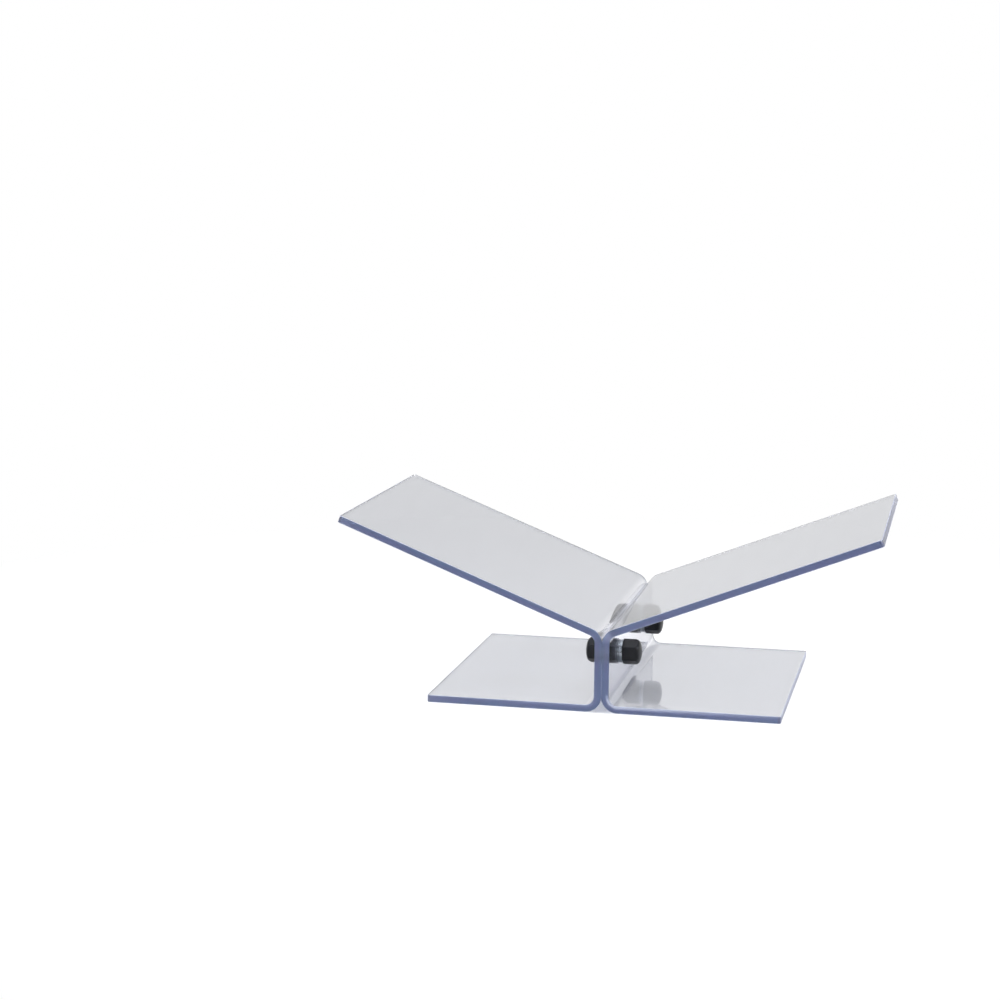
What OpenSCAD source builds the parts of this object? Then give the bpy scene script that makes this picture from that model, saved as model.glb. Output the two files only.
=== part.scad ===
// Book stand: two bent clear sheets, back to back, held by two capped bolts.
// Origin on the table, midway between the outer ends and between front and back.
// X runs across the open book, Y from the reader's side to the back, Z up.

/* [Sheet] */
// Thickness of the clear sheet
sheet_t = 5; // [3:0.5:8]
// Depth of the stand from front to back
sheet_depth = 200; // [150:5:320]
// Reach of each base from the joint between the halves to its outer end
base_reach = 120; // [60:1:180]
// Height at which the top faces of the two wings would meet
valley_h = 54.6; // [50:0.1:90]
// Length of a wing along its top face, from that meeting line to its outer end
wing_len = 195; // [100:1:280]
// Slope of a wing above the horizontal
wing_slope = 21.5; // [10:0.5:40]
// Inside radius of the bends
bend_r = 6; // [1:0.25:8]
// Radius of the sheet's rounded corners
corner_r = 2; // [0.5:0.25:6]

/* [Bolts and nuts] */
// Distance from the front bolt to the rear bolt
bolt_spacing = 100; // [40:1:130]
// Height of the bolts above the table
bolt_h = 31.6; // [24:0.1:36]
// Outside diameter of the thread
thread_d = 8; // [6:0.5:9]
// Width across the flats of the bolt heads and nuts
hex_af = 13; // [11:0.5:15]
// Height of a bolt head
head_h = 5.3; // [4:0.1:6]
// Height of a nut
nut_h = 6.5; // [5:0.1:8]
// Length of thread that stands out past a nut
thread_end = 5.3; // [2:0.1:8]
// Length of the bevel at the end of the thread
thread_bevel = 1; // [0.4:0.1:1.5]
// Angle of the bevel on the corners of heads and nuts
hex_bevel_angle = 30; // [15:1:40]
// Distance from that bevel's inner edge to the flats
hex_rim = 0.3; // [0.1:0.05:0.6]
// Gap round the thread inside a nut
nut_gap = 0.05; // [0.02:0.01:0.1]
// Gap round the bolt inside the holes of the sheets
hole_gap = 0.5; // [0.2:0.05:1]

/* [Washers] */
// Outside diameter of a washer
washer_d = 16; // [13:0.5:20]
// Thickness of a washer
washer_t = 1.6; // [0.8:0.1:2.5]
// Gap round the bolt inside a washer
washer_gap = 0.2; // [0.1:0.05:0.6]

/* [Caps] */
// Wall of a cap at its flats
cap_wall = 1.25; // [0.8:0.05:2]
// Wall of a cap at the top of its dome
cap_end_wall = 0.6; // [0.4:0.1:2]
// Height of the dome over the corners of a cap
dome_h = 2.2; // [1.5:0.1:3.5]
// Length of the rounded shoulder along the corners of a cap
shoulder_len = 3.6; // [2.5:0.1:4.5]
// Distance from the start of the shoulder down to the centre of the sphere that rounds it
shoulder_drop = 5.4; // [5:0.1:7]
// Gap between a cap and the flats of the nut or head inside it
cap_gap = 0.1; // [0.05:0.05:0.2]
// Room between the end of the thread and the dome over it
tip_room = 0.4; // [0.3:0.1:2]
// Gap round the thread end inside a cap
pocket_gap = 0.6; // [0.4:0.1:1]

/* [Hidden] */
$fn = 96;
// Flat steps that each bend is drawn with
bend_steps = 16;
// A bend's outer face turns about the same centre as its inner face
bend_out_r = bend_r + sheet_t;
// Distance from the meeting line to where a wing's top face starts to turn into its web
setback = bend_out_r * tan((90 - wing_slope) / 2);
// Centres of the two bends, and the directions along a wing and square to it, as [x, z]
base_bend = [bend_out_r, bend_out_r];
wing_bend = [bend_out_r, valley_h - setback];
wing_along = [cos(wing_slope), sin(wing_slope)];
wing_up = [-sin(wing_slope), cos(wing_slope)];
wing_flat = wing_len - setback;
hole_r = thread_d / 2 + hole_gap;
// Face of each sheet that a washer lies on, and face of a washer that a nut, head or cap lies on
web_face = sheet_t;
seat_face = web_face + washer_t;
bolt_len = 2 * seat_face + nut_h + thread_end;
// Radius of the flat end left by the bevel of a head or nut
hex_face_r = hex_af / 2 - hex_rim;
socket_af = hex_af + 2 * cap_gap;
cap_af = socket_af + 2 * cap_wall;
cap_len = nut_h + thread_end + tip_room + cap_end_wall;
// Radius of the sphere that rises by the dome's height over the corners of a cap
dome_r = (pow(hex_corner(cap_af), 2) + pow(dome_h, 2)) / (2 * dome_h);
// Radius of the sphere that meets the corners of a cap where its shoulder starts
shoulder_r = norm([hex_corner(cap_af), shoulder_drop]);
// Overlap that lets a cutting shape pass clear through a face
cut = 1;
// Distance that the rounding of a corner starts outside the sheet, so that it always crosses the edge
corner_bite = 0.01;
sheet_colour = [0.84, 0.86, 0.9, 0.45];
steel_colour = [0.72, 0.73, 0.74];
cap_colour = [0.07, 0.07, 0.08];
front_y = -bolt_spacing / 2;
rear_y = bolt_spacing / 2;

// Radius of a hexagon's corners from its width across flats
function hex_corner(af) = af / (2 * cos(30));

// Turns a shape that stands on Z so that it lies along +X on a bolt's line, corners up and down
module on_bolt(y, x) {
    translate([x, y, bolt_h])
        rotate([0, 90, 0])
            children();
}

// The same, lying along -X on the left half
module on_bolt_left(y, x) {
    mirror([1, 0, 0])
        on_bolt(y, x)
            children();
}

// Six-sided prism given by its width across flats
module hex_prism(af, h) {
    cylinder(r = hex_corner(af), h = h, $fn = 6);
}

// Points of an arc about a centre in the XZ plane
function arc(centre, r, from, to) = [
    for (i = [0:bend_steps])
        let (angle = from + (to - from) * i / bend_steps)
            centre + r * [cos(angle), sin(angle)]
];

// Side view of one half: base, bend, upright web, bend, wing, at one thickness all along
module sheet_profile() {
    polygon(concat(
        [[base_reach, 0]],
        arc(base_bend, bend_out_r, 270, 180),
        arc(wing_bend, bend_out_r, 180, 90 + wing_slope),
        [wing_bend + bend_out_r * wing_up + wing_flat * wing_along],
        [wing_bend + bend_r * wing_up + wing_flat * wing_along],
        arc(wing_bend, bend_r, 90 + wing_slope, 180),
        arc(base_bend, bend_r, 180, 270),
        [[base_reach, sheet_t]]
    ));
}

// Cutters that round the two corners at the end of a flat stretch of sheet
module corner_cuts(reach) {
    inset = corner_r - corner_bite;
    for (side = [-1, 1])
        translate([reach - inset, side * (sheet_depth / 2 - inset), sheet_t / 2])
            difference() {
                translate([corner_r, side * corner_r, 0])
                    cube([2 * corner_r, 2 * corner_r, sheet_t + 2 * cut], center = true);
                cylinder(r = corner_r, h = sheet_t + 4 * cut, center = true);
            }
}

// One half of the stand: a single sheet, bent twice and drilled for the bolts
module bent_sheet() {
    difference() {
        rotate([90, 0, 0])
            linear_extrude(sheet_depth, center = true)
                sheet_profile();
        corner_cuts(base_reach);
        translate([wing_bend.x, 0, wing_bend.y])
            rotate([0, -wing_slope, 0])
                translate([0, 0, bend_r])
                    corner_cuts(wing_flat);
        for (y = [front_y, rear_y])
            on_bolt(y, -cut)
                cylinder(r = hole_r, h = sheet_t + 2 * cut);
    }
}

// Hexagon with the corners of its outer end bevelled, and those of its seat as well if both is true
module bevelled_hex(h, both) {
    wide_r = hex_corner(hex_af) + cut;
    drop = (wide_r - hex_face_r) * tan(hex_bevel_angle);
    seat = both ? [[hex_face_r, 0], [wide_r, drop]] : [[wide_r, 0]];
    intersection() {
        hex_prism(hex_af, h);
        rotate_extrude()
            polygon(concat([[0, 0]], seat, [[wide_r, h - drop], [hex_face_r, h], [0, h]]));
    }
}

// Bolt with its head on the left half and its thread running towards +X
module bolt(y) {
    color(steel_colour) {
        on_bolt_left(y, seat_face)
            bevelled_hex(head_h, false);
        on_bolt(y, -seat_face) {
            cylinder(d = thread_d, h = bolt_len - thread_bevel);
            translate([0, 0, bolt_len - thread_bevel])
                cylinder(r1 = thread_d / 2, r2 = thread_d / 2 - thread_bevel, h = thread_bevel);
        }
    }
}

// Nut on the outer face of its washer, bevelled at both ends
module nut(y) {
    color(steel_colour)
        on_bolt(y, seat_face)
            difference() {
                bevelled_hex(nut_h, true);
                translate([0, 0, -cut])
                    cylinder(r = thread_d / 2 + nut_gap, h = nut_h + 2 * cut);
            }
}

// Plain round washer, standing on its seat
module washer() {
    color(steel_colour)
        difference() {
            cylinder(d = washer_d, h = washer_t);
            translate([0, 0, -cut])
                cylinder(r = thread_d / 2 + washer_gap, h = washer_t + 2 * cut);
        }
}

// Six-sided cap with a domed end and a rounded shoulder, hollowed by a hexagon socket for a nut or head
// and above it a round pocket for the thread end
module cap() {
    color(cap_colour)
        difference() {
            intersection() {
                hex_prism(cap_af, cap_len);
                translate([0, 0, cap_len - dome_r])
                    sphere(dome_r);
                translate([0, 0, cap_len - shoulder_len - shoulder_drop])
                    sphere(shoulder_r);
            }
            translate([0, 0, -cut])
                hex_prism(socket_af, nut_h + cap_gap + cut);
            intersection() {
                cylinder(r = thread_d / 2 + pocket_gap, h = cap_len);
                translate([0, 0, cap_len - dome_r])
                    sphere(dome_r - cap_end_wall);
            }
        }
}

module left_panel() {
    color(sheet_colour)
        mirror([1, 0, 0])
            bent_sheet();
}

module right_panel() {
    color(sheet_colour)
        bent_sheet();
}

left_panel();
right_panel();
bolt(front_y);  // front_bolt
bolt(rear_y);  // rear_bolt
nut(front_y);  // front_nut
nut(rear_y);  // rear_nut
on_bolt_left(front_y, web_face) washer();  // front_head_washer
on_bolt_left(rear_y, web_face) washer();  // rear_head_washer
on_bolt(front_y, web_face) washer();  // front_nut_washer
on_bolt(rear_y, web_face) washer();  // rear_nut_washer
on_bolt_left(front_y, seat_face) cap();  // front_head_cap
on_bolt_left(rear_y, seat_face) cap();  // rear_head_cap
on_bolt(front_y, seat_face) cap();  // front_nut_cap
on_bolt(rear_y, seat_face) cap();  // rear_nut_cap
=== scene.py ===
import math

import bmesh
import bpy
from mathutils import Matrix, Vector


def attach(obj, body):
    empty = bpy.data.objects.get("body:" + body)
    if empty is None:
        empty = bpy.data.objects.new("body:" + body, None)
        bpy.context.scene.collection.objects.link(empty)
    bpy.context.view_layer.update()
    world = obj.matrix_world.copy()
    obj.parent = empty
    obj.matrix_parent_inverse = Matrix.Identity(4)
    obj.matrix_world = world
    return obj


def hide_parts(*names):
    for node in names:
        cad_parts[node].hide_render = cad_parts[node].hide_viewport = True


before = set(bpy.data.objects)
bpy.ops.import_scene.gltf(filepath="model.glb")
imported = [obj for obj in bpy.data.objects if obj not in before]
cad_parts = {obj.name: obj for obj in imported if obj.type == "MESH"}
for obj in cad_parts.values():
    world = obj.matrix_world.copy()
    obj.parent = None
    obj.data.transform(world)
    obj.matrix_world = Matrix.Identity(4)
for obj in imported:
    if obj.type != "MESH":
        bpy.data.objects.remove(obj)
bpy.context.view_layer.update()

scene = bpy.context.scene
mm = 0.001
print("frame loaded:", len(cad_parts), "nodes")


def linear(hexCode):  # sRGB hex to the linear colour that shaders take
    parts = [int(hexCode[i:i + 2], 16) / 255 for i in (1, 3, 5)]
    return tuple(c / 12.92 if c <= 0.04045 else ((c + 0.055) / 1.055) ** 2.4 for c in parts) + (1.0,)


def clamp(value):
    return min(max(value, 0), 1)


def addNode(tree, kind, sockets={}, **settings):  # a socket takes a fixed value or another node's output
    node = tree.nodes.new("ShaderNode" + kind)
    for key, value in settings.items():
        setattr(node, key, value)
    for key, value in sockets.items():
        if isinstance(value, bpy.types.NodeSocket):
            tree.links.new(value, node.inputs[key])
        else:
            node.inputs[key].default_value = value
    return node


# The sockets of a Mix node share their names, so these are given by their place
numberA, numberB, colourA, colourB, colourOut = 2, 3, 6, 7, 2
noiseLow, noiseHigh = 0.3, 0.7  # nearly all of a noise lies between these
white = (1, 1, 1, 1)


def newMaterial(name):
    material = bpy.data.materials.new(name)
    material.use_nodes = True
    material.node_tree.nodes.clear()
    return material, material.node_tree


# Camera at the photograph's angle, solved from the sheet's edges
cameraSpec = {
    "eye": (0.244888, -1.528801, 0.374891),
    "right": (0.97621071, 0.21667264, 0.00810039),
    "up": (-0.0419678, 0.15216772, 0.98746326),
    "sensor": 36.0,
    "lens": 80.12,
    "clip": (0.05, 100.0),
}


def makeCamera():
    spec = cameraSpec
    data = bpy.data.cameras.new("camera")
    data.sensor_width = spec["sensor"]
    data.lens = spec["lens"]
    data.clip_start, data.clip_end = spec["clip"]
    camera = bpy.data.objects.new("camera", data)
    scene.collection.objects.link(camera)
    right, up = Vector(spec["right"]), Vector(spec["up"])
    turn = Matrix((right, up, right.cross(up))).transposed()
    camera.matrix_world = Matrix.Translation(spec["eye"]) @ turn.to_4x4()
    scene.camera = camera


makeCamera()
print("camera placed")


# Clear rigid PVC sheet, press-polished on its faces and sawn, then scraped, along its edges. The faces have a
# mirror gloss under a thin grey film of wear, so they read pale grey against white, and a darker tint on the
# under faces of the wings and bases dims what is seen through them. The plastic is faintly blue: across the
# sheet that hardly shows, but an edge is seen through its whole width and goes slate blue, here more teal and
# there more violet, with a pale line where heat and pressure have crazed it at the foot bend. The pale line
# on the edges at the upper bend is a painted highlight.
sheetFinish = {
    "faceColour": "#fefefe",
    "webColour": "#fcfcfe",
    "ior": 1.53,
    "faceRoughness": (0.012, 0.032),  # between wipe marks and on them
    "haze": (0.195, 0.205),  # share of the light that the film takes, between wipe marks and on them
    # a darker tint on the under faces of the wings, which dims what is seen through them
    "hazeColour": "#4a4b50",
    "underColour": "#bdbfc6",  # share of that darker tint on the under face of the bases
    "baseUnderShare": 0.66,  # share of that film left under the bases, which rub on the table
    "backFilm": 0.5,  # share of the film on the webs towards the back; further forward there is less of it
    "backReach": (-45 * mm, 45 * mm),
    "cornerFilmAndShade": 0.6,  # share of the film in the inner corner at the foot of a web, where it is a painted shade for the darker corner
    "waveLength": 45 * mm,  # waviness left by the polishing plates
    "waveHeight": 0.1 * mm,
    "waveBump": 0.05,
    "wipeWidth": 7 * mm,  # wipe marks, drawn coarser than real ones so that they show
    "wipeStretch": 0.12,  # they run from front to back
    "edgeTint": "#d4d5ec",
    "edgeTeal": "#c6e2ec",
    "tealShift": 0.3,  # an edge is more teal towards the outer face of the bends
    "tealSpan": (0.42, 0.78),
    "patchLength": 30 * mm,
    "endTint": "#cfcccb",  # the ends, cut across the sheet, are greyer
    "edgeRoughness": 0.3,
    "edgeScatter": 0.12,  # share of the light that the scraped edge scatters
    "edgeScatterColour": "#7681ab",
    # pale scatter where an edge is crazed or scraped, and the painted highlight on the edges at the upper
    # bend
    "crazedScatter": 0.75,
    "crazedColour": "#c5cadb",
    "scrapeSpacing": 1.6 * mm,  # scraper lines are near 0.2 mm; drawn coarser so that they show
    "scrapeHeight": 0.05 * mm,
    "plasticColour": "#a8b0cd",
    "plasticDepth": 18.0,  # absorption for each metre of plastic
    "shadowColour": "#f6f7f8",  # what the sheet lets through to the table
    "footShadow": "#36383c",  # the foot bends turn the light aside, so the table under them is darker
}
# What each face of a sheet carries, from 0 to 1: panelShape writes it and the material reads it
sheetMarks = ("cutEdge", "sawn", "endCut", "outerSide", "handled", "underside", "crazed", "footBend")


def makeClearSheet():
    material, tree = newMaterial("clearRigidPvc")
    spec = sheetFinish
    here = addNode(tree, "TexCoord").outputs["Object"]
    mark = {name: addNode(tree, "Attribute", attribute_name=name).outputs["Fac"] for name in sheetMarks}

    # relief: the waviness of the faces, and scraper lines on the edges
    wave = addNode(tree, "TexNoise", {"Vector": here, "Scale": 1 / spec["waveLength"], "Detail": 1.0})
    waviness = addNode(tree, "Bump", {
        "Height": wave.outputs["Fac"],
        "Strength": spec["waveBump"],
        "Distance": spec["waveHeight"],
    })
    lines = addNode(tree, "TexNoise", {"Vector": here, "Scale": 1 / spec["scrapeSpacing"], "Detail": 2.0})
    scraped = addNode(tree, "Bump", {
        "Height": lines.outputs["Fac"],
        "Strength": mark["sawn"],
        "Distance": spec["scrapeHeight"],
        "Normal": waviness.outputs["Normal"],
    })

    # gloss: wipe marks on the faces, rougher edges
    stretched = addNode(tree, "Mapping", {"Vector": here, "Scale": (1.0, spec["wipeStretch"], 1.0)})
    wipes = addNode(tree, "TexNoise", {
        "Vector": stretched.outputs["Vector"],
        "Scale": 1 / spec["wipeWidth"],
        "Detail": 4.0,
    })
    smoothest, roughest = spec["faceRoughness"]
    polish = addNode(tree, "MapRange", {
        "Value": wipes.outputs["Fac"],
        "From Min": noiseLow,
        "From Max": noiseHigh,
        "To Min": smoothest,
        "To Max": roughest,
    })
    gloss = addNode(tree, "Mix", {
        "Factor": mark["cutEdge"],
        numberA: polish.outputs["Result"],
        numberB: spec["edgeRoughness"],
    })

    # tint: teal and violet patches along the edges, grey ends, and faces that are dimmed from below
    patches = addNode(tree, "TexNoise", {"Vector": here, "Scale": 1 / spec["patchLength"], "Detail": 3.0})
    shifted = addNode(tree, "Math", {
        0: mark["outerSide"],
        1: spec["tealShift"],
        2: patches.outputs["Fac"],
    }, operation="MULTIPLY_ADD")
    violetEnd, tealEnd = spec["tealSpan"]
    hue = addNode(tree, "MapRange", {"Value": shifted.outputs[0], "From Min": violetEnd, "From Max": tealEnd})
    edgeTint = addNode(tree, "Mix", {
        "Factor": hue.outputs["Result"],
        colourA: linear(spec["edgeTint"]),
        colourB: linear(spec["edgeTeal"]),
    }, data_type="RGBA")
    cutTint = addNode(tree, "Mix", {
        "Factor": mark["endCut"],
        colourA: edgeTint.outputs[colourOut],
        colourB: linear(spec["endTint"]),
    }, data_type="RGBA")
    faceTint = addNode(tree, "Mix", {
        "Factor": mark["handled"],
        colourA: linear(spec["webColour"]),
        colourB: linear(spec["faceColour"]),
    }, data_type="RGBA")
    dimmed = addNode(tree, "Mix", {
        "Factor": mark["underside"],
        colourA: faceTint.outputs[colourOut],
        colourB: linear(spec["underColour"]),
    }, data_type="RGBA")
    tint = addNode(tree, "Mix", {
        "Factor": mark["cutEdge"],
        colourA: dimmed.outputs[colourOut],
        colourB: cutTint.outputs[colourOut],
    }, data_type="RGBA")
    clear = addNode(tree, "BsdfPrincipled", {
        "Base Color": tint.outputs[colourOut],
        "Roughness": gloss.outputs[0],
        "Normal": scraped.outputs["Normal"],
        "IOR": spec["ior"],
        "Transmission Weight": 1.0,
    })

    # film on the faces and scatter on the edges, on the outside only
    thinnest, thickest = spec["haze"]
    film = addNode(tree, "MapRange", {
        "Value": wipes.outputs["Fac"],
        "From Min": noiseLow,
        "From Max": noiseHigh,
        "To Min": thinnest,
        "To Max": thickest,
    })
    spot = addNode(tree, "SeparateXYZ", {"Vector": here})
    near, far = spec["backReach"]
    behind = addNode(tree, "MapRange", {
        "Value": spot.outputs["Y"],
        "From Min": near,
        "From Max": far,
        "To Max": spec["backFilm"],
    })
    # film share: wear on the faces, painted shade in the inner corner at the foot of a web, and more towards
    # the back of the webs
    filmShare = addNode(tree, "Math", {0: mark["handled"], 1: behind.outputs["Result"]}, operation="MAXIMUM")
    filmAmount = addNode(tree, "Math", {0: film.outputs["Result"], 1: filmShare.outputs[0]}, operation="MULTIPLY")
    scatter = addNode(tree, "MapRange", {
        "Value": mark["crazed"],
        "To Min": spec["edgeScatter"],
        "To Max": spec["crazedScatter"],
    })
    caught = addNode(tree, "Mix", {
        "Factor": mark["cutEdge"],
        numberA: filmAmount.outputs[0],
        numberB: scatter.outputs["Result"],
    })
    inward = addNode(tree, "NewGeometry").outputs["Backfacing"]
    outside = addNode(tree, "Math", {0: 1.0, 1: inward}, operation="SUBTRACT")
    share = addNode(tree, "Math", {0: caught.outputs[0], 1: outside.outputs[0]}, operation="MULTIPLY")
    scatterTint = addNode(tree, "Mix", {
        "Factor": mark["crazed"],
        colourA: linear(spec["edgeScatterColour"]),
        colourB: linear(spec["crazedColour"]),
    }, data_type="RGBA")
    hazeTint = addNode(tree, "Mix", {
        "Factor": mark["cutEdge"],
        colourA: linear(spec["hazeColour"]),
        colourB: scatterTint.outputs[colourOut],
    }, data_type="RGBA")
    haze = addNode(tree, "BsdfDiffuse", {"Color": hazeTint.outputs[colourOut]})
    dulled = addNode(tree, "MixShader", {0: share.outputs[0], 1: clear.outputs[0], 2: haze.outputs[0]})

    # lamps shine through to the table, less so at the foot bends
    passing = addNode(tree, "Mix", {
        "Factor": mark["footBend"],
        colourA: linear(spec["shadowColour"]),
        colourB: linear(spec["footShadow"]),
    }, data_type="RGBA")
    passed = addNode(tree, "BsdfTransparent", {"Color": passing.outputs[colourOut]})
    toLamp = addNode(tree, "LightPath").outputs["Is Shadow Ray"]
    lit = addNode(tree, "MixShader", {0: toLamp, 1: dulled.outputs[0], 2: passed.outputs[0]})
    inside = addNode(tree, "VolumeAbsorption", {
        "Color": linear(spec["plasticColour"]),
        "Density": spec["plasticDepth"],
    })
    addNode(tree, "OutputMaterial", {"Surface": lit.outputs[0], "Volume": inside.outputs[0]})
    return material


# Black low-density polyethylene, injection moulded: a satin skin that goes from near black to
# charcoal where it turns towards the light, with the fine grain of the mould.
capFinish = {
    "colour": "#111215",
    "scuffColour": "#18191d",
    "ior": 1.51,
    "roughness": (0.3, 0.39),
    "shine": 0.1,
    "skinGloss": 0.16,  # a thin glossier skin, which gives a soft highlight on a dome
    "skinRoughness": 0.1,
    "grain": 0.6 * mm,  # spark-eroded mould grain is near 0.1 mm; drawn coarser so that it shows
    "grainHeight": 0.05 * mm,
    "grainBump": 0.18,
    "scuff": 4 * mm,
}


def makeBlackCap():
    material, tree = newMaterial("mouldedBlackPolyethylene")
    spec = capFinish
    here = addNode(tree, "TexCoord").outputs["Object"]
    grain = addNode(tree, "TexNoise", {"Vector": here, "Scale": 1 / spec["grain"], "Detail": 2.0})
    skin = addNode(tree, "Bump", {
        "Height": grain.outputs["Fac"],
        "Strength": spec["grainBump"],
        "Distance": spec["grainHeight"],
    })
    scuffs = addNode(tree, "TexNoise", {"Vector": here, "Scale": 1 / spec["scuff"], "Detail": 5.0})
    tint = addNode(tree, "Mix", {
        "Factor": scuffs.outputs["Fac"],
        colourA: linear(spec["colour"]),
        colourB: linear(spec["scuffColour"]),
    }, data_type="RGBA")
    smoothest, roughest = spec["roughness"]
    satin = addNode(tree, "MapRange", {
        "Value": scuffs.outputs["Fac"],
        "From Min": noiseLow,
        "From Max": noiseHigh,
        "To Min": smoothest,
        "To Max": roughest,
    })
    cap = addNode(tree, "BsdfPrincipled", {
        "Base Color": tint.outputs[colourOut],
        "Roughness": satin.outputs["Result"],
        "Normal": skin.outputs["Normal"],
        "IOR": spec["ior"],
        "Specular IOR Level": spec["shine"],
        "Coat Weight": spec["skinGloss"],
        "Coat Roughness": spec["skinRoughness"],
    })
    addNode(tree, "OutputMaterial", {"Surface": cap.outputs[0]})
    return material


# Bright zinc-plated steel, cold formed: a cool silver with a slightly cloudy plating.
steelFinish = {
    "colour": "#aab0b6",
    "cloudColour": "#90979d",
    "roughness": (0.22, 0.4),
    "cloud": 2.5 * mm,
    "drawLines": 0.5 * mm,  # forming marks, drawn coarser than real ones so that they show
    "drawHeight": 0.03 * mm,
    "drawBump": 0.1,
}


def makeZincSteel():
    material, tree = newMaterial("brightZincPlatedSteel")
    spec = steelFinish
    here = addNode(tree, "TexCoord").outputs["Object"]
    clouds = addNode(tree, "TexNoise", {"Vector": here, "Scale": 1 / spec["cloud"], "Detail": 4.0})
    tint = addNode(tree, "Mix", {
        "Factor": clouds.outputs["Fac"],
        colourA: linear(spec["colour"]),
        colourB: linear(spec["cloudColour"]),
    }, data_type="RGBA")
    smoothest, roughest = spec["roughness"]
    satin = addNode(tree, "MapRange", {
        "Value": clouds.outputs["Fac"],
        "From Min": noiseLow,
        "From Max": noiseHigh,
        "To Min": smoothest,
        "To Max": roughest,
    })
    drawn = addNode(tree, "TexNoise", {"Vector": here, "Scale": 1 / spec["drawLines"], "Detail": 2.0})
    formed = addNode(tree, "Bump", {
        "Height": drawn.outputs["Fac"],
        "Strength": spec["drawBump"],
        "Distance": spec["drawHeight"],
    })
    steel = addNode(tree, "BsdfPrincipled", {
        "Base Color": tint.outputs[colourOut],
        "Roughness": satin.outputs["Result"],
        "Normal": formed.outputs["Normal"],
        "Metallic": 1.0,
    })
    addNode(tree, "OutputMaterial", {"Surface": steel.outputs[0]})
    return material


clearSheet = makeClearSheet()
blackCap = makeBlackCap()
zincSteel = makeZincSteel()
print("materials made")


meshSpec = {
    "weld": 0.002 * mm,  # points closer than this are one
    "sliver": 0.001 * mm,
    "flatWeight": 100,  # large faces decide how an edge is shaded
}


def addPiece(name, points, faces, material, faceMarks={}):  # points in mm, in the shared frame
    mesh = bpy.data.meshes.new(name)
    mesh.from_pydata([Vector(p) * mm for p in points], [], faces)
    mesh.materials.append(material)
    for mark, values in faceMarks.items():
        mesh.attributes.new(mark, "FLOAT", "FACE").data.foreach_set("value", values)
    shape = bmesh.new()
    shape.from_mesh(mesh)
    bmesh.ops.remove_doubles(shape, verts=shape.verts, dist=meshSpec["weld"])
    bmesh.ops.dissolve_degenerate(shape, edges=shape.edges, dist=meshSpec["sliver"])
    bmesh.ops.recalc_face_normals(shape, faces=shape.faces)
    shape.to_mesh(mesh)
    shape.free()
    mesh.shade_smooth()
    piece = bpy.data.objects.new(name, mesh)
    scene.collection.objects.link(piece)
    normals = piece.modifiers.new("flatFacesStayFlat", "WEIGHTED_NORMAL")
    normals.weight = meshSpec["flatWeight"]
    normals.keep_sharp = True
    return piece


def settle(piece, node, body):
    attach(piece, body)
    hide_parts(node)


# One bent sheet, in mm. It is laid out flat, from the end of its base to the end of its wing, as
# (along, across, depth), and then folded. Depth 0 is the outer face of the bends.
panelSpec = {
    "thickness": 5.0,
    "depth": 200.0,
    "baseReach": 120.0,
    "valleyHeight": 54.6,
    "wingLength": 195.0,
    "wingSlope": 21.5,
    "bendInside": 6.0,
    "cornerRadius": 2.0,
    "easedEdge": 0.35,
    "facingEase": 0.2,  # the edges of the two webs that face each other are hardly scraped
    "airFilm": 0.03,  # left between the two webs where they lie together
    "boltHeight": 31.6,
    "boltAcross": (-50.0, 50.0),
    "holeRadius": 4.5,
    "bendSteps": 24,
    "baseSteps": 12,
    "besideBend": 1.5,  # a row this close to each bend keeps the flats flat
    "cornerSteps": 6,
    "edgeSteps": 8,
    "holeSteps": 48,
    "outerDepth": 3.0,  # depth over which the teal of the outer face fades
    "arris": 0.8,  # the eased edges of base and wing, scraped whitish
    "arrisLines": 0.15,  # they carry fainter scraper lines than the sawn edge
    "crazingAndHighlight": {-1: 0.35, 1: 1.0},  # how far the left and right sheet are crazed, and how strong the painted highlight at the upper bend is
    "crazedFrom": 2.5,  # depth at which the crazing of the foot bend sets in
    "crazedRise": 1.6,
    "crazedBase": 160.0,  # length over which it fades along the base
    "crazedWeb": (2.0, 6.0),  # it starts to fade this far before the web, over this length
    "crazedUpper": 0.5,  # a painted highlight on the edges round the upper bend, at this share, this far to each side of its middle
    "crazedUpperReach": 7.0,
}


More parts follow.
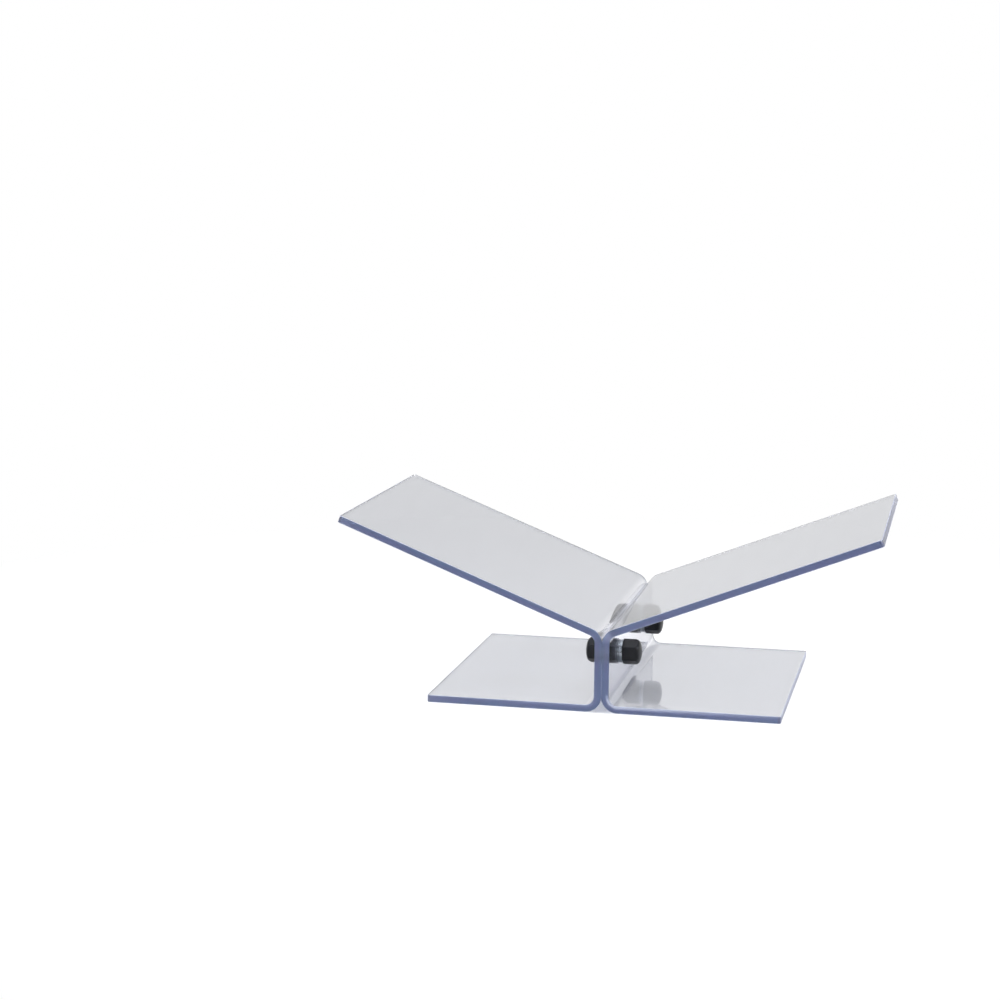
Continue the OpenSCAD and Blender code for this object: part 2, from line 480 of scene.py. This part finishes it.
def panelShape(side):
    spec = panelSpec
    thick, slope = spec["thickness"], math.radians(spec["wingSlope"])
    outer = spec["bendInside"] + thick
    lean = math.pi / 2 - slope  # turn of the upper bend
    setback = outer * math.tan(lean / 2)
    upperBend = spec["valleyHeight"] - setback
    baseFlat = spec["baseReach"] - outer
    webStart = baseFlat + outer * math.pi / 2
    webEnd = webStart + upperBend - outer
    wingStart = webEnd + outer * lean
    total = wingStart + spec["wingLength"] - setback
    boltAlong = webStart + spec["boltHeight"] - outer

    def fold(along, across, depth):
        r = outer - depth
        if along < baseFlat:
            x, z = spec["baseReach"] - along, depth
        elif along < webStart:
            turn = math.pi * 1.5 - (along - baseFlat) / outer
            x, z = outer + r * math.cos(turn), outer + r * math.sin(turn)
        elif along < webEnd:
            x, z = depth, outer + along - webStart
        else:
            turn = math.pi - min(along - webEnd, wingStart - webEnd) / outer
            run = max(along - wingStart, 0)
            x = outer + r * math.cos(turn) + run * math.cos(slope)
            z = upperBend + r * math.sin(turn) + run * math.sin(slope)
        return (side * x, across, z)

    def offWeb(along):  # 1 on base and wing, fading over the bends to 0 on the web
        onBase = (webStart - along) / (webStart - baseFlat)
        onWing = (along - webEnd) / (wingStart - webEnd)
        share = clamp(max(onBase, onWing))
        return share * share * (3 - 2 * share)

    def dimming(along, layer):  # layer -1 is the under face of the wing, layer 0 that of the base
        if (layer == 0) == (along > boltAlong):
            return 0.0
        return offWeb(along) * (1.0 if along > boltAlong else sheetFinish["baseUnderShare"])

    def crazingAndHighlight(along, depth):  # crazing on the inner side of the foot bend, fading along base and web, and a painted highlight on the edges at the upper bend
        lead, fade = spec["crazedWeb"]
        foot = clamp((depth - spec["crazedFrom"]) / spec["crazedRise"])
        foot *= clamp(1 - (baseFlat - along) / spec["crazedBase"])
        foot *= clamp(1 - (along - webStart + lead) / fade)
        # the painted highlight, round the middle of the upper bend
        upper = clamp(1 - abs(along - (webEnd + wingStart) / 2) / spec["crazedUpperReach"])
        return spec["crazingAndHighlight"][side] * max(foot, spec["crazedUpper"] * upper)

    bendSteps, baseSteps, beside = spec["bendSteps"], spec["baseSteps"], spec["besideBend"]
    stops = [baseFlat * i / baseSteps for i in range(1, baseSteps)] + [baseFlat - beside]
    stops += [baseFlat + (webStart - baseFlat) * i / bendSteps for i in range(bendSteps + 1)]
    stops += [webStart + beside, boltAlong, webEnd - beside]
    stops += [webEnd + (wingStart - webEnd) * i / bendSteps for i in range(bendSteps + 1)]
    stops += [wingStart + beside]
    half, radius = spec["depth"] / 2, spec["cornerRadius"]

    def cornerArc(along, across, start, inset):
        r, steps = radius - inset, spec["cornerSteps"]
        turns = [start + math.pi / 2 * i / steps for i in range(steps + 1)]
        return [(along + r * math.cos(a), across + r * math.sin(a)) for a in turns]

    # The edge in section, as (inset, depth): eased, straight, eased
    eased, film, edgeSteps = spec["easedEdge"], spec["airFilm"], spec["edgeSteps"]
    cut = eased * (1 - math.sqrt(0.5))
    sawnDepth = thick - film - 2 * eased
    section = [(eased, film), (cut, film + cut)]
    section += [(0, film + eased + sawnDepth * i / edgeSteps) for i in range(edgeSteps + 1)]
    section += [(cut, thick - cut), (eased, thick)]
    points, faces = [], []
    marks = {name: [] for name in sheetMarks}

    def addFace(corners, **values):  # marks that aren't given are 0
        faces.append(corners)
        for name, column in marks.items():
            column.append(values.get(name, 0.0))

    def onJoint(along, depth, value):  # value for a row of the eased edge that faces the other sheet
        if depth > film + eased:
            return value
        return value * (spec["facingEase"] + (1 - spec["facingEase"]) * offWeb(along))

    def addLoop(flat, depth):
        first = len(points)
        for along, across in flat:
            points.append(fold(along, across, film + onJoint(along, depth, depth - film)))
        return list(range(first, len(points)))

    def joinLoops(loops, flat):
        for (a, b), (low, high) in zip(zip(loops, loops[1:]), zip(section, section[1:])):
            onArris = low[0] or high[0]
            depth = (low[1] + high[1]) / 2
            for i in range(len(a)):
                j = (i + 1) % len(a)
                along = (flat[i][0] + flat[j][0]) / 2
                addFace(
                    (a[i], a[j], b[j], b[i]),
                    cutEdge=1.0,
                    sawn=spec["arrisLines"] if onArris else 1.0,
                    endCut=0.0 if radius < along < total - radius else 1.0,
                    outerSide=max(1 - depth / spec["outerDepth"], 0),
                    handled=1.0,
                    crazed=spec["arris"] * offWeb(along) if onArris else crazingAndHighlight(along, depth),
                )

    rims = []
    for inset, depth in section:
        low = [(along, onJoint(along, depth, inset) - half) for along in stops]
        high = [(along, -across) for along, across in reversed(low)]
        outline = cornerArc(radius, radius - half, math.pi, inset) + low
        outline += cornerArc(total - radius, radius - half, math.pi * 1.5, inset)
        outline += cornerArc(total - radius, half - radius, 0, inset) + high
        outline += cornerArc(radius, half - radius, math.pi / 2, inset)
        rims.append(addLoop(outline, depth))
    joinLoops(rims, outline)
    holes = []
    for across in spec["boltAcross"]:
        rings = []
        for inset, depth in section:
            r = spec["holeRadius"] + inset
            turns = [2 * math.pi * i / spec["holeSteps"] for i in range(spec["holeSteps"])]
            circle = [(boltAlong + r * math.sin(a), across + r * math.cos(a)) for a in turns]
            rings.append(addLoop(circle, depth))
        joinLoops(rings, circle)
        holes.append(rings)

    # The two faces, in strips across the sheet
    corner, count, halfTurn = spec["cornerSteps"] + 1, len(stops), spec["holeSteps"] // 2
    boltRow = stops.index(boltAlong)
    for layer in (0, -1):
        rim = rims[layer]
        rings = [hole[layer] for hole in holes]
        low = rim[corner:corner + count]
        farEnd = rim[corner + count:3 * corner + count]
        high = rim[3 * corner + count:3 * corner + 2 * count][::-1]
        nearEnd = rim[3 * corner + 2 * count:] + rim[:corner]
        addFace(nearEnd + [low[0], high[0]], handled=1.0, underside=dimming(0, layer))
        addFace([low[-1]] + farEnd + [high[-1]], handled=1.0, underside=dimming(total, layer))
        for i in range(count - 1):
            outline = [low[i], low[i + 1], high[i + 1], high[i]]
            if i == boltRow - 1:  # the strip below the bolt line, round the lower half of each hole
                lower = [ring[halfTurn:] + ring[:1] for ring in rings]
                outline = [low[i], low[i + 1]] + lower[0] + lower[1] + [high[i + 1], high[i]]
            if i == boltRow:  # the strip above it
                upper = [ring[:halfTurn + 1][::-1] for ring in rings]
                outline = [low[i]] + upper[0] + upper[1] + [high[i], high[i + 1], low[i + 1]]
            middle = (stops[i] + stops[i + 1]) / 2
            onFoot = baseFlat < middle < webStart
            addFace(
                outline,
                # on the inner face of the foot bend the film is a painted shade
                handled=sheetFinish["cornerFilmAndShade"] if onFoot and layer == -1 else offWeb(middle),
                underside=dimming(middle, layer),
                footBend=1.0 if onFoot else 0.0,
            )
    return points, faces, marks


def makePanel(node, body, side):
    points, faces, faceMarks = panelShape(side)
    piece = addPiece(node.replace("_panel", "BentSheet"), points, faces, clearSheet, faceMarks)
    settle(piece, node, body)


makePanel("left_panel", "left_half", -1)
makePanel("right_panel", "right_half", 1)
print("bent sheets made")


# Caps, washers, nuts and bolts are rows of rings along a bolt, in mm
boltLines = dict(zip(("front", "rear"), panelSpec["boltAcross"]))
edgeMiddle = 0.3  # how far a rounded edge is cut back at its middle, as a share of its radius
sector = math.pi / 3  # one side of a hexagon


def cornerTurn(flats, rounding):  # angle from a hexagon's corner to the end of its rounding
    flat = flats / 2
    return sector / 2 - math.atan((flat - rounding) * math.tan(sector / 2) / flat)


def hexRadius(angle, flats, rounding):  # distance from the axis to a rounded hexagon, a corner at angle 0
    off = abs((angle + sector / 2) % sector - sector / 2)  # angle from the nearest corner
    flat = flats / 2
    reach = (flat - rounding) / math.cos(sector / 2)
    if off >= cornerTurn(flats, rounding):
        return flat / math.cos(sector / 2 - off)
    return reach * math.cos(off) + math.sqrt(rounding ** 2 - (reach * math.sin(off)) ** 2)


def hexAngles(spec):  # closer together round the corners
    tangent = cornerTurn(spec["flats"], spec["rounding"])
    cornerSteps, flatSteps = spec["cornerSteps"], spec["flatSteps"]
    part = [-tangent + 2 * tangent * i / cornerSteps for i in range(cornerSteps)]
    part += [tangent + (sector - 2 * tangent) * i / flatSteps for i in range(flatSteps)]
    return [k * sector + a for k in range(6) for a in part]


def ringRow(shape, grow, height):  # follows a shape, moved out by grow, at one height
    return lambda a: (shape(a) + grow, height)


def roundRow(radius, height):
    return lambda a: (radius, height)


def loftRows(rows, angles, place, closeStart, closeEnd):  # each row gives (radius, height) at an angle
    points, faces = [], []
    count = len(angles)
    for row in rows:
        points += [place(*row(a), a) for a in angles]
    for i in range(len(rows) - 1):
        for j in range(count):
            k = (j + 1) % count
            faces.append((i * count + j, i * count + k, (i + 1) * count + k, (i + 1) * count + j))
    if closeStart:
        faces.append(tuple(range(count)))
    if closeEnd:
        faces.append(tuple(range((len(rows) - 1) * count, len(rows) * count)))
    return points, faces


def onBolt(across, side, seat):  # heights run outwards along the bolt from a seat, corners up and down
    axis = panelSpec["boltHeight"]

    def place(radius, height, angle):
        return (side * (seat + height), across + radius * math.sin(angle), axis + radius * math.cos(angle))
    return place


def camelName(node):
    first, rest = node.split("_", 1)
    return first + rest.title().replace("_", "")


capSpec = {
    "flats": 15.7,
    "length": 12.8,
    "domeHeight": 2.2,
    "shoulderLength": 3.6,
    "shoulderDrop": 5.4,
    "blend": 0.5,
    "rounding": 0.9,
    "fillet": 0.8,
    "rim": 0.35,
    "socketFlats": 13.2,
    "socketDepth": 6.6,
    "socketRounding": 0.4,
    "pocketRadius": 4.6,
    "endWall": 0.6,
    "seat": 6.6,
    "cornerSteps": 6,
    "flatSteps": 6,
    "filletSteps": 6,
    "domeRings": (0.02, 0.12, 0.25, 0.38, 0.5, 0.6, 0.69, 0.77, 0.84, 0.9, 0.95),  # shares of the way out
    "sideRing": 5.0,  # keeps the flats flat
    "innerEase": 0.2,  # at the foot of the socket and the mouth of the pocket
    "pocketEase": (0.4, 0.5),  # inwards and along, at the end of the pocket
    "pocketRings": (3.2, 2.0, 0.8),
}


def capRows():
    spec = capSpec
    corner = spec["flats"] / 2 / math.cos(math.pi / 6)
    domeRadius = (corner ** 2 + spec["domeHeight"] ** 2) / (2 * spec["domeHeight"])
    domeCentre = spec["length"] - domeRadius
    shoulderRadius = math.hypot(corner, spec["shoulderDrop"])
    shoulderCentre = spec["length"] - spec["shoulderLength"] - spec["shoulderDrop"]
    innerRadius = domeRadius - spec["endWall"]

    def outside(a):
        return hexRadius(a, spec["flats"], spec["rounding"])

    def socket(a):
        return hexRadius(a, spec["socketFlats"], spec["socketRounding"])

    def top(r):  # the lower of the dome and the shoulder, run into each other
        dome = domeCentre + math.sqrt(domeRadius ** 2 - r * r)
        shoulder = shoulderCentre + math.sqrt(shoulderRadius ** 2 - r * r)
        return (dome + shoulder - math.hypot(dome - shoulder, spec["blend"])) / 2

    def underDome(r):
        return domeCentre + math.sqrt(innerRadius ** 2 - r * r)

    def onTop(share):
        def row(a):
            r = (outside(a) - spec["fillet"]) * share
            return r, top(r)
        return row

    def onFillet(share):  # a curve from the flat side over the edge of the shoulder
        def row(a):
            r = outside(a)
            start, knee = (r, top(r) - spec["fillet"]), (r, top(r))
            end = (r - spec["fillet"], top(r - spec["fillet"]))
            w = ((1 - share) ** 2, 2 * share * (1 - share), share ** 2)
            return tuple(w[0] * s + w[1] * k + w[2] * e for s, k, e in zip(start, knee, end))
        return row

    rim, ease, pocket, floor = spec["rim"], spec["innerEase"], spec["pocketRadius"], spec["socketDepth"]
    rounded, steps = rim * edgeMiddle, spec["filletSteps"]
    easeIn, easeAlong = spec["pocketEase"]
    pocketEnd = underDome(pocket)
    rows = [onTop(share) for share in spec["domeRings"]]
    rows += [onFillet(1 - i / steps) for i in range(steps + 1)]
    rows += [ringRow(outside, 0, height) for height in (spec["sideRing"], 2 * rim, rim)]
    rows += [ringRow(outside, -rounded, rounded), ringRow(outside, -rim, 0)]
    rows += [ringRow(socket, rim, 0), ringRow(socket, rounded, rounded)]
    rows += [ringRow(socket, 0, height) for height in (rim, floor - ease, floor)]
    rows += [roundRow(pocket + ease, floor), roundRow(pocket, floor + ease)]
    rows += [roundRow(pocket, pocketEnd - easeAlong), roundRow(pocket - easeIn, pocketEnd)]
    rows += [roundRow(r, underDome(r)) for r in spec["pocketRings"]]
    return rows


def makeCap(node, body, across, side):
    place = onBolt(across, side, capSpec["seat"])
    points, faces = loftRows(capRows(), hexAngles(capSpec), place, True, True)
    settle(addPiece(camelName(node), points, faces, blackCap), node, body)


for end, across in boltLines.items():
    makeCap(f"{end}_head_cap", f"{end}_head_cap", across, -1)
    makeCap(f"{end}_nut_cap", f"{end}_nut_cap", across, 1)
print("caps made")


washerSpec = {
    "outside": 8.0,
    "inside": 4.2,
    "thickness": 1.6,
    "rolledEdge": 0.45,
    "rollTurns": (0.4, 0.8, 1.2, math.pi / 2),
    "burr": 0.12,
    "steps": 96,
    "seat": 5.0,
}


def makeWasher(node, body, across, side):
    spec = washerSpec
    out, hole, thick, roll, burr = (spec[k] for k in ("outside", "inside", "thickness", "rolledEdge", "burr"))
    rounded = roll * edgeMiddle
    section = [(hole + burr, 0), (out - burr, 0), (out, burr), (out, thick - roll)]
    for turn in spec["rollTurns"]:
        section.append((out - roll * (1 - math.cos(turn)), thick - roll * (1 - math.sin(turn))))
    section += [(hole + roll, thick), (hole + rounded, thick - rounded), (hole, thick - roll)]
    section += [(hole, burr), (hole + burr, 0)]
    rows = [roundRow(*point) for point in section]
    angles = [2 * math.pi * i / spec["steps"] for i in range(spec["steps"])]
    points, faces = loftRows(rows, angles, onBolt(across, side, spec["seat"]), False, False)
    settle(addPiece(camelName(node), points, faces, zincSteel), node, body)


for end, across in boltLines.items():
    makeWasher(f"{end}_head_washer", "left_half", across, -1)
    makeWasher(f"{end}_nut_washer", "right_half", across, 1)
print("washers made")


# The hexagon of the nuts and bolt heads
hexSpec = {
    "flats": 13.0,
    "rounding": 0.25,
    "faceRadius": 6.2,
    "bevel": math.radians(30),
    "seat": 6.6,
    "cornerSteps": 4,
    "flatSteps": 10,
}
nutSpec = {"height": 6.5, "bore": 4.05, "countersink": 0.55}


def hexOut(a):
    return hexRadius(a, hexSpec["flats"], hexSpec["rounding"])


def hexDrop(a):  # how far the bevel has come down where it meets the side
    return (hexOut(a) - hexSpec["faceRadius"]) * math.tan(hexSpec["bevel"])


def makeNut(node, body, across):
    height, bore, sink = (nutSpec[k] for k in ("height", "bore", "countersink"))
    face, wide = hexSpec["faceRadius"], bore + sink
    rows = [roundRow(bore, sink), roundRow(wide, 0), roundRow(face, 0)]
    rows += [lambda a: (hexOut(a), hexDrop(a)), lambda a: (hexOut(a), height - hexDrop(a))]
    rows += [roundRow(face, height), roundRow(wide, height), roundRow(bore, height - sink)]
    rows += [roundRow(bore, sink)]
    points, faces = loftRows(rows, hexAngles(hexSpec), onBolt(across, 1, hexSpec["seat"]), False, False)
    settle(addPiece(camelName(node), points, faces, zincSteel), node, body)


boltSpec = {
    "headHeight": 5.3,
    "headRings": (0.05, 0.9, 1.0),  # shares of the way out to the bevel
    "length": 25.0,
    "pitch": 1.25,
    "threadRadius": 4.0,
    "threadDepth": 0.72,
    "threadRoot": (0.0, 0.22),  # shares of the pitch
    "threadCrest": (0.54, 0.68),
    "spareTurns": 2,  # run past each end of the bolt and drawn in to it
    "neckRadius": 3.64,
    "neck": 1.2,
    "endBevel": 1.0,
}


def makeBolt(node, body, across):
    spec = boltSpec
    height, face, neck = spec["headHeight"], hexSpec["faceRadius"], spec["neckRadius"]
    rows = [roundRow(face * share, height) for share in spec["headRings"]]
    rows += [lambda a: (hexOut(a), height - hexDrop(a)), ringRow(hexOut, 0, 0.0), roundRow(neck, 0.0)]
    angles = hexAngles(hexSpec)
    count = len(angles)
    points, faces = loftRows(rows, angles, onBolt(across, -1, hexSpec["seat"]), True, False)
    pitch, radius = spec["pitch"], spec["threadRadius"]
    profile = [(share, radius - spec["threadDepth"]) for share in spec["threadRoot"]]
    profile += [(share, radius) for share in spec["threadCrest"]]
    start, end = -hexSpec["seat"], spec["length"] - hexSpec["seat"]
    first, part, spare = len(points), len(profile), spec["spareTurns"]
    rowCount = part * (math.ceil(spec["length"] / pitch) + 2 * spare)
    place = onBolt(across, 1, 0.0)

    def onThread(row, angle):  # right-hand: seen from the head, the thread runs away clockwise
        share, r = profile[row % part]
        x = start + (row // part - spare + share - (angle - angles[0]) / (2 * math.pi)) * pitch
        if x < start + spec["neck"]:
            r = neck
        if x > end - spec["endBevel"]:
            r = min(r, radius - (min(x, end) - (end - spec["endBevel"])))
        return place(r, min(max(x, start), end), angle)

    for row in range(rowCount):
        points += [onThread(row, angle) for angle in angles]
    for row in range(part, rowCount - 1):
        for j in range(count):
            k = (j + 1) % count
            beside = row if k else row - part  # past the last angle the thread has come back by one pitch
            here, there = first + row * count + j, first + beside * count + k
            faces.append((here, there, there + count, here + count))
    faces.append(tuple(range(first + (rowCount - 1) * count, first + rowCount * count)))
    settle(addPiece(camelName(node), points, faces, zincSteel), node, body)


for end, across in boltLines.items():
    makeBolt(f"{end}_bolt", "left_half", across)
    makeNut(f"{end}_nut", f"{end}_nut", across)
print("bolts and nuts made")


# White floor and soft studio light. Seen by the camera, in a mirror or through the sheet, the floor is
# mostly plain white; the rest of it is lit, which keeps the stand's soft shadow.
stageSpec = {
    "floorSize": 12.0,
    "floorFront": -0.7,  # the table ends here, in front of the camera's view
    "floorDrop": 0.2 * mm,
    "floorColour": "#f2f2f3",
    "plainWhite": 0.62,  # share of the seen floor that is plain white near the stand
    "litReach": (0.35, 0.68),  # from here on the floor goes over to plain white
    "footShade": "#d5d6db",  # contact shadow in the hollow between the two foot bends
    "shadeWidth": (12 * mm, 5 * mm),
    "shadeDepth": (103 * mm, 97 * mm),
    "roomColour": "#f6f6f8",
    "roomStrength": 0.55,
    "dimFront": 0.4,  # the room behind the camera, as the caps and edges mirror it
    "frontSpan": (-0.9, -0.3),  # Y of a direction: dimmed up to the first, full from the second on
}


def seenPlainly(tree):  # 1 for what the camera sees directly, mirrored or through the sheet
    seen = addNode(tree, "LightPath").outputs
    pair = {0: seen["Is Camera Ray"], 1: seen["Is Glossy Ray"]}
    either = addNode(tree, "Math", pair, operation="MAXIMUM").outputs[0]
    pair = {0: either, 1: seen["Is Transmission Ray"]}
    return addNode(tree, "Math", pair, operation="MAXIMUM").outputs[0]


# Matt white paper, hung in one sweep: no gloss, only soft shadow, deepest in the hollow under the stand
def makePaper():
    material, tree = newMaterial("whitePaperSweep")
    spec = stageSpec
    here = addNode(tree, "TexCoord").outputs["Object"]
    spot = addNode(tree, "SeparateXYZ", {"Vector": here})
    fades = []
    for axis, (outside, inside) in (("X", spec["shadeWidth"]), ("Y", spec["shadeDepth"])):
        off = addNode(tree, "Math", {0: spot.outputs[axis]}, operation="ABSOLUTE").outputs[0]
        fade = addNode(tree, "MapRange", {"Value": off, "From Min": outside, "From Max": inside})
        fades.append(fade.outputs["Result"])
    shade = addNode(tree, "Math", {0: fades[0], 1: fades[1]}, operation="MULTIPLY").outputs[0]
    tint = addNode(tree, "Mix", {
        "Factor": shade,
        colourA: linear(spec["floorColour"]),
        colourB: linear(spec["footShade"]),
    }, data_type="RGBA")
    paper = addNode(tree, "BsdfDiffuse", {"Color": tint.outputs[colourOut]})
    away = addNode(tree, "VectorMath", {0: here}, operation="LENGTH")
    near, far = spec["litReach"]
    plain = addNode(tree, "MapRange", {
        "Value": away.outputs["Value"],
        "From Min": near,
        "From Max": far,
        "To Min": spec["plainWhite"],
        "To Max": 1.0,
    })
    unshaded = addNode(tree, "Math", {0: 1.0, 1: shade}, operation="SUBTRACT")
    seen = addNode(tree, "Math", {0: seenPlainly(tree), 1: plain.outputs["Result"]}, operation="MULTIPLY")
    share = addNode(tree, "Math", {0: seen.outputs[0], 1: unshaded.outputs[0]}, operation="MULTIPLY")
    glow = addNode(tree, "Emission", {"Color": white, "Strength": 1.0})
    mixed = addNode(tree, "MixShader", {0: share.outputs[0], 1: paper.outputs[0], 2: glow.outputs[0]})
    addNode(tree, "OutputMaterial", {"Surface": mixed.outputs[0]})
    return material


def makeFloor():
    spec = stageSpec
    half, front = spec["floorSize"] / 2, spec["floorFront"]
    mesh = bpy.data.meshes.new("floor")
    corners = [(-half, front, 0), (half, front, 0), (half, half, 0), (-half, half, 0)]
    mesh.from_pydata(corners, [], [(0, 1, 2, 3)])
    mesh.materials.append(makePaper())
    floor = bpy.data.objects.new("floor", mesh)
    floor.location.z = -spec["floorDrop"]
    scene.collection.objects.link(floor)


def makeRoom():
    spec = stageSpec
    world = bpy.data.worlds.new("room")
    scene.world = world
    world.use_nodes = True
    tree = world.node_tree
    tree.nodes.clear()
    walls = addNode(tree, "Background", {
        "Color": linear(spec["roomColour"]),
        "Strength": spec["roomStrength"],
    })
    towards = addNode(tree, "TexCoord").outputs["Generated"]
    parts = addNode(tree, "SeparateXYZ", {"Vector": towards})
    ahead, aside = spec["frontSpan"]
    dimmed = addNode(tree, "MapRange", {
        "Value": parts.outputs["Y"],
        "From Min": ahead,
        "From Max": aside,
        "To Min": spec["dimFront"],
        "To Max": 1.0,
    })
    mirrored = addNode(tree, "Mix", {
        "Factor": addNode(tree, "LightPath").outputs["Is Glossy Ray"],
        numberA: 1.0,
        numberB: dimmed.outputs["Result"],
    })
    plain = addNode(tree, "Background", {"Color": white, "Strength": mirrored.outputs[0]})
    mixed = addNode(tree, "MixShader", {0: seenPlainly(tree), 1: walls.outputs[0], 2: plain.outputs[0]})
    addNode(tree, "OutputWorld", {"Surface": mixed.outputs[0]})


lampSpec = {
    "overhead": {"at": (0.1, 0.0, 1.6), "aim": (0, 0, 0), "size": 1.3, "watts": 17.0},
    "leftFront": {"at": (-1.3, -1.2, 1.1), "aim": (0, 0, 0.05), "size": 0.8, "watts": 18.0},
    # small, for a highlight on the domes
    "right": {"at": (1.47, -0.33, 0.7), "aim": (0, 0, 0.03), "size": 0.3, "watts": 20.0},
}


def makeLamps():
    for name, spec in lampSpec.items():
        data = bpy.data.lights.new(name, "AREA")
        data.size = spec["size"]
        data.energy = spec["watts"]
        lamp = bpy.data.objects.new(name, data)
        scene.collection.objects.link(lamp)
        lamp.location = spec["at"]
        towards = Vector(spec["aim"]) - Vector(spec["at"])
        lamp.rotation_euler = towards.to_track_quat("-Z", "Y").to_euler()


makeFloor()
makeRoom()
makeLamps()
scene.view_settings.view_transform = "Standard"
scene.cycles.max_bounces = 48  # light runs along inside the sheets
scene.cycles.glossy_bounces = 40
scene.cycles.transmission_bounces = 40
print("stage and light made")
